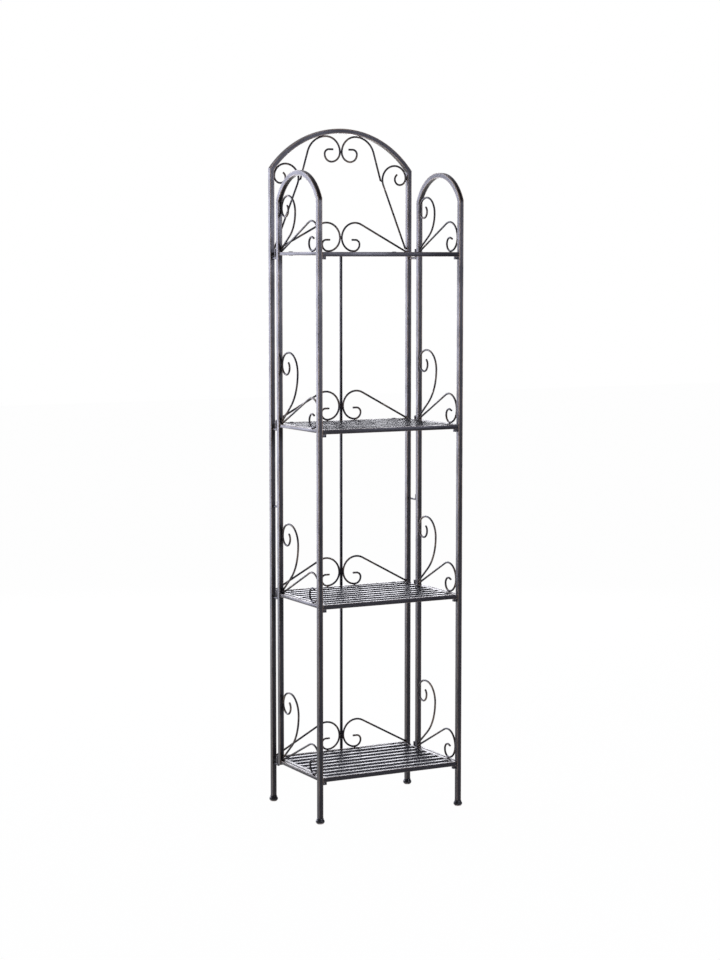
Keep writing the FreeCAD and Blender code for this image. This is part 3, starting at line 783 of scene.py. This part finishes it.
# %% Side welds
SIDE_STEM_LIFT = 0.0022
TALL_TOUCH, TOP_TOUCH = 0.1473, 0.1061
for side in SIDES:
    scroll_low, scroll_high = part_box(f"{side}_low_scrolls")
    plane_x = (scroll_low.x + scroll_high.x) / 2
    rear_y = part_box(f"{side}_rear_post")[0].y
    front_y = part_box(f"{side}_front_post")[1].y
    touching = []
    for top in rail_tops:
        tall = TALL_TOUCH if top < rail_tops[-1] else TOP_TOUCH
        touching.append((plane_x, rear_y - STEM_IN, top + SIDE_STEM_LIFT))
        touching.append((plane_x, rear_y - STEM_IN, top + TALL_STEM_LIFT))
        touching.append((plane_x, rear_y - CURL_IN, top + tall))
        touching.append((plane_x, front_y + CURL_IN, top + BOWL_REACH))
        touching.append((plane_x, front_y + BOWL_REACH, top + BOWL_LIFT))
    weld(f"{side}_welds", f"{side}_side_frame", touching)
bpy.data.objects.remove(bead)

# %% [markdown]
# ## Stage
# The shelf stands on white paper. A plain white floor would render grey, because it only gives back
# part of the light, and turning the light up would wash out the metal. So the floor glows for the
# camera, with a little of its own shading left for the shadows of the feet. In the gloss of the metal
# it glows towards the back only: the paper in front is dim, and that keeps the front faces dark.

# %% Stage helpers
def in_view(tree, rays):
    """1 for what the camera sees, straight or through something clear, and 0 for light and gloss."""
    return math_node(tree, "MAXIMUM", rays.outputs["Is Camera Ray"], rays.outputs["Is Transmission Ray"])


def mix_shaders(tree, share, first, second, output):
    """Mix of two shaders, joined to the output node."""
    blend = tree.nodes.new("ShaderNodeMixShader")
    feed(tree, share, blend.inputs["Fac"])
    feed(tree, first, blend.inputs[1])
    feed(tree, second, blend.inputs[2])
    feed(tree, blend.outputs["Shader"], output.inputs["Surface"])


# %% Floor
FLOOR_SIZE = 30
PAPER, PAPER_ROUGHNESS = (0.9, 0.9, 0.9, 1.0), 0.9
VIEW_GLOW = 0.985
GLOSS_DEPTH, GLOSS_GLOW = (-0.4, 0.8), (0.08, 1.0)
bpy.ops.object.select_all(action="DESELECT")
bpy.ops.mesh.primitive_plane_add(size=FLOOR_SIZE, location=(0, 0, 0))
floor = bpy.context.active_object
floor.name = "studio_floor"
floor_paint = bpy.data.materials.new("studio_white")
floor_paint.use_nodes = True
tree = floor_paint.node_tree
paper = tree.nodes["Principled BSDF"]
feed(tree, PAPER, paper.inputs["Base Color"])
feed(tree, PAPER_ROUGHNESS, paper.inputs["Roughness"])
glow = tree.nodes.new("ShaderNodeEmission")
rays = tree.nodes.new("ShaderNodeLightPath")
seen = math_node(tree, "MULTIPLY", in_view(tree, rays), VIEW_GLOW)
lit = ramp(tree, along(tree, "Y"), GLOSS_DEPTH, GLOSS_GLOW)
mirrored = math_node(tree, "MULTIPLY", rays.outputs["Is Glossy Ray"], lit)
share = math_node(tree, "MAXIMUM", seen, mirrored)
mix_shaders(tree, share, paper.outputs["BSDF"], glow.outputs["Emission"], tree.nodes["Material Output"])
floor.data.materials.append(floor_paint)
print("floor:", FLOOR_SIZE, "m wide,", len(tree.nodes), "nodes")

# %% [markdown]
# The world is the rest of the studio. The camera sees it plain white. For light and gloss it is a room
# with a bright back wall, a dim front and a darker ceiling. One even white would light every face
# alike, and the square tubes would look flat.

# %% World
STUDIO_TINT = (0.88, 0.885, 1.0, 1.0)
BACK_SPAN, BACK_GLOW = (-0.5, 0.6), (0.11, 1.1)
CEILING_SPAN, CEILING_GLOW = (0.35, 0.8), (1.0, 0.3)
world = bpy.data.worlds.new("studio")
bpy.context.scene.world = world
world.use_nodes = True
tree = world.node_tree
room = tree.nodes["Background"]
room.inputs["Color"].default_value = STUDIO_TINT
back = ramp(tree, along(tree, "Y", "Generated"), BACK_SPAN, BACK_GLOW)
ceiling = ramp(tree, along(tree, "Z", "Generated"), CEILING_SPAN, CEILING_GLOW)
feed(tree, math_node(tree, "MULTIPLY", back, ceiling), room.inputs["Strength"])
white = tree.nodes.new("ShaderNodeBackground")
white.inputs["Color"].default_value = (1.0, 1.0, 1.0, 1.0)
seen = in_view(tree, tree.nodes.new("ShaderNodeLightPath"))
mix_shaders(tree, seen, room.outputs["Background"], white.outputs["Background"], tree.nodes["World Output"])
print("world:", world.name, len(tree.nodes), "nodes")

# %% [markdown]
# ## Lights
# Dark satin metal shows what it mirrors, so each lamp stands where one set of faces mirrors it into the
# camera. Two lamps behind on the left brighten the left faces of the posts, strongly above and weakly
# near the floor. A wide one behind on the right draws the stripes on the slats. One in front lights the
# upper front faces, and a faint one overhead softens the rest. A single large lamp would be simpler,
# but it can't set those faces apart.


# %% Lights
def softbox(name, place, target, size, watts, tint):
    """Soft rectangular lamp, turned towards a point and hidden from the camera."""
    light = bpy.data.lights.new(name, "AREA")
    light.color = tint
    light.shape = "RECTANGLE"
    light.size, light.size_y = size
    light.energy = watts
    lamp = bpy.data.objects.new(name, light)
    bpy.context.scene.collection.objects.link(lamp)
    lamp.location = place
    lamp.rotation_euler = (Vector(target) - Vector(place)).to_track_quat("-Z", "Y").to_euler()
    lamp.visible_camera = False
    print("lamp", name, watts, "W")


COOL, NEUTRAL = (0.79, 0.80, 1.0), (0.95, 0.95, 1.0)
softbox("left_faces", (-1.55, 2.85, 1.85), (0, 0, 1.3), (1.8, 2.2), 74, COOL)
softbox("left_low", (-1.55, 2.85, 0.42), (0, 0, 0.42), (1.8, 0.8), 20, COOL)
softbox("shelf_tops", (1.62, 3.2, 1.15), (0, 0, 0.7), (2.7, 1.3), 58, NEUTRAL)
softbox("front_faces", (0.75, -3.2, 1.5), (0, 0, 1.4), (1.9, 0.65), 50, COOL)
softbox("overhead", (-0.6, -0.6, 4.2), (0, 0, 0.9), (2.4, 2.4), 12, NEUTRAL)

# %% [markdown]
# ## Camera
# The camera stands to the front left at eye height and looks slightly down. A short lens close by would
# also frame the shelf, but its posts would lean. A long lens from further away keeps them nearly
# upright.

# %% Camera
EYE = (-2.58326, -4.83786, 1.37479)
LOOK_DOWN, TURN_RIGHT = math.radians(5.735), math.radians(27.959)
LENS, SENSOR = 82.62, 36
camera_data = bpy.data.cameras.new("camera")
camera_data.lens = LENS
camera_data.sensor_width = SENSOR
camera = bpy.data.objects.new("camera", camera_data)
bpy.context.scene.collection.objects.link(camera)
camera.location = EYE
camera.rotation_euler = (math.pi / 2 - LOOK_DOWN, 0, -TURN_RIGHT)
bpy.context.scene.camera = camera
bpy.context.scene.view_settings.view_transform = "Standard"
print("camera:", LENS, "mm lens,", round(Vector(EYE).length, 2), "m from the shelf's foot")
